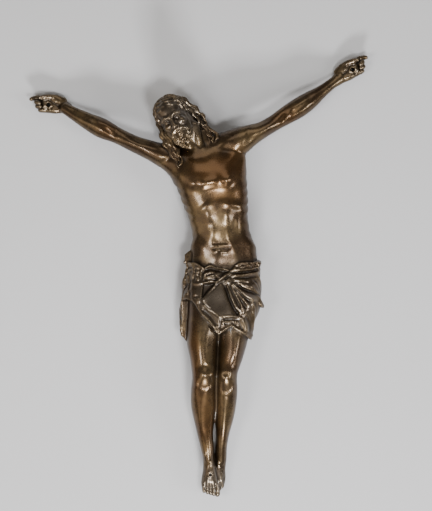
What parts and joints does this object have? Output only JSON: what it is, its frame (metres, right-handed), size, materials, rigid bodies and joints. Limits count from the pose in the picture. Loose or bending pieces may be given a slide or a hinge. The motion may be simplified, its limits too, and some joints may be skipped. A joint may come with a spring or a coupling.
{
  "type": "crucifix corpus figure",
  "caption": "Cast bronze corpus of a crucifix: bearded figure with raised arms, knotted loincloth and crossed feet, drilled for nails, made to hang on a cross.",
  "frame": {"origin": "middle of the bounding box, on the surface that the figure lies on, face up", "axes": "+Y from the toes to the head, +X to the figure's left hand, +Z out of its chest"},
  "size_m": [0.2718, 0.354, 0.0504],
  "materials": {
    "bronze": "dark brown patinated cast bronze, polished and lacquered, rubbed to golden brown on the high places"
  },
  "bodies": {
    "root": {"corpus": "bronze"}
  },
  "joints": []
}
